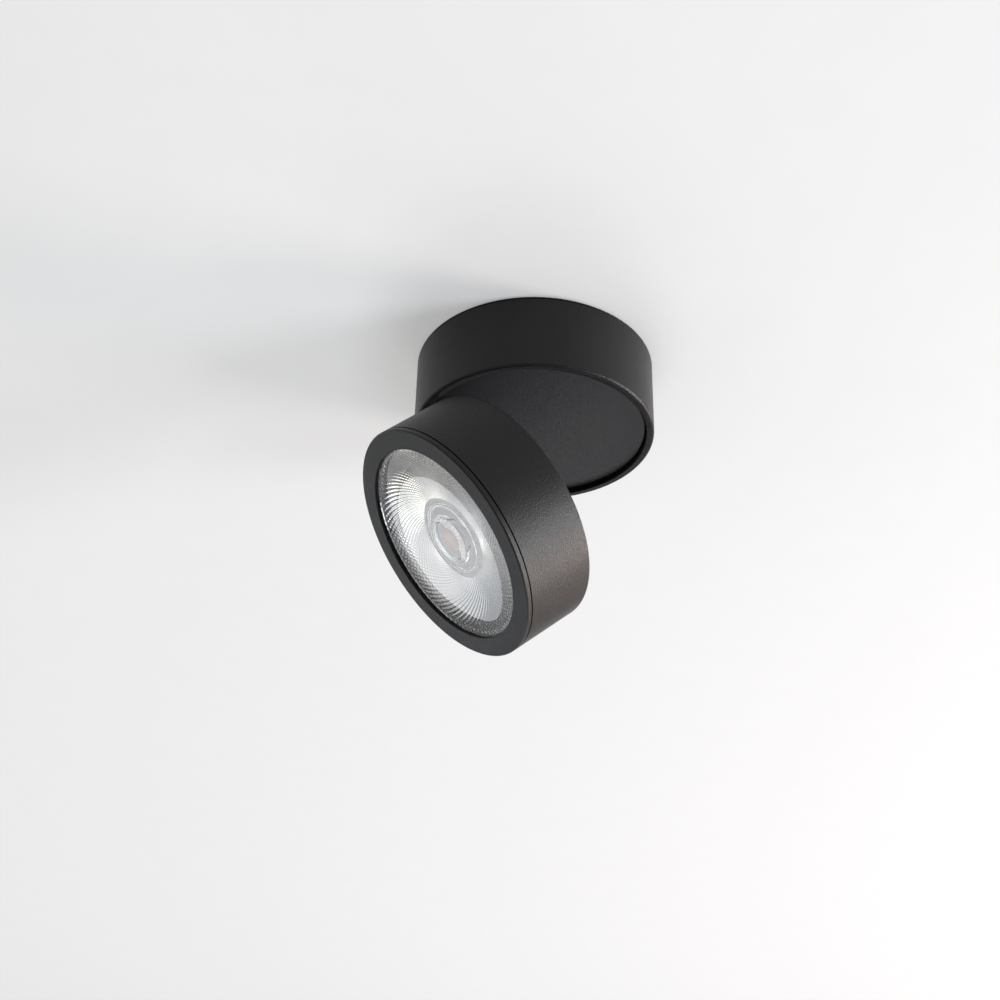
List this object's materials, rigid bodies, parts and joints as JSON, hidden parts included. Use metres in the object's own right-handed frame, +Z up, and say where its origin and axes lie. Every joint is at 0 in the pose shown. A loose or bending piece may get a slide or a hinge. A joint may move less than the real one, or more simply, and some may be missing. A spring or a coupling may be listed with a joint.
{
  "type": "surface mounted ceiling spotlight",
  "caption": "Round ceiling drum with a turntable and an equal round lamp head hinged to its rim, which swings down and turns to aim the light.",
  "frame": {"origin": "centre of the ceiling plate's upper face, where the supply cable enters", "axes": "+Z up into the ceiling, along the axis of the drum; the head opens towards -Y; the hinge pin lies along X"},
  "size_m": [0.1, 0.1195, 0.1302],
  "materials": {
    "powder_black": "fine satin powder coat",
    "black_rubber": "matt rubber",
    "white_nylon": "moulded nylon",
    "driver_white": "moulded plastic",
    "board_green": "circuit board",
    "ferrite": "dark moulded parts",
    "zinc_steel": "zinc plated",
    "brass_screw": "nickel brass",
    "black_steel": "satin black coat",
    "bare_aluminium": "bare die casting",
    "phosphor": "light source coating",
    "holder_white": "glossy white moulding",
    "clear_optic": "polished clear acrylic, beaded behind"
  },
  "bodies": {
    "base": {"ceiling_plate": "powder_black", "cable_grommet": "black_rubber", "base_housing": "powder_black", "pan_bush": "white_nylon", "driver_case": "driver_white", "driver_lid": "driver_white", "driver_board": "board_green", "driver_transformer": "ferrite", "driver_capacitors": "ferrite", "driver_screws": "zinc_steel", "terminal_block": "driver_white", "terminal_screws": "brass_screw", "cable_clamp": "driver_white", "clamp_screws": "zinc_steel"},
    "turntable": {"turntable": "powder_black", "wire_grommet": "black_rubber", "stop_pin": "zinc_steel", "pan_washer": "zinc_steel", "disc_spring": "zinc_steel", "pan_nut": "zinc_steel", "hinge_bracket": "black_steel", "bracket_screws": "zinc_steel"},
    "head": {"head_housing": "powder_black", "hinge_yoke": "zinc_steel", "yoke_screws": "zinc_steel", "hinge_pin": "zinc_steel", "hinge_nut": "zinc_steel", "friction_washers": "white_nylon", "head_grommet": "black_rubber", "heat_sink": "bare_aluminium", "heat_sink_screws": "zinc_steel", "cob_board": "bare_aluminium", "cob_phosphor": "phosphor", "cob_holder": "holder_white", "holder_screws": "zinc_steel", "lens": "clear_optic", "lens_gasket": "black_rubber", "lens_snap_ring": "zinc_steel", "bezel": "powder_black"}
  },
  "joints": [
    {"name": "head_pan", "type": "hinge", "parent": "base", "child": "turntable", "pos_m": [0, 0, -0.03], "axis": [0, 0, 1], "range_deg": [-175, 175]},
    {"name": "head_tilt", "type": "hinge", "parent": "turntable", "child": "head", "pos_m": [0, -0.045, -0.0401], "axis": [-1, 0, 0], "range_deg": [-49, 41]}
  ]
}
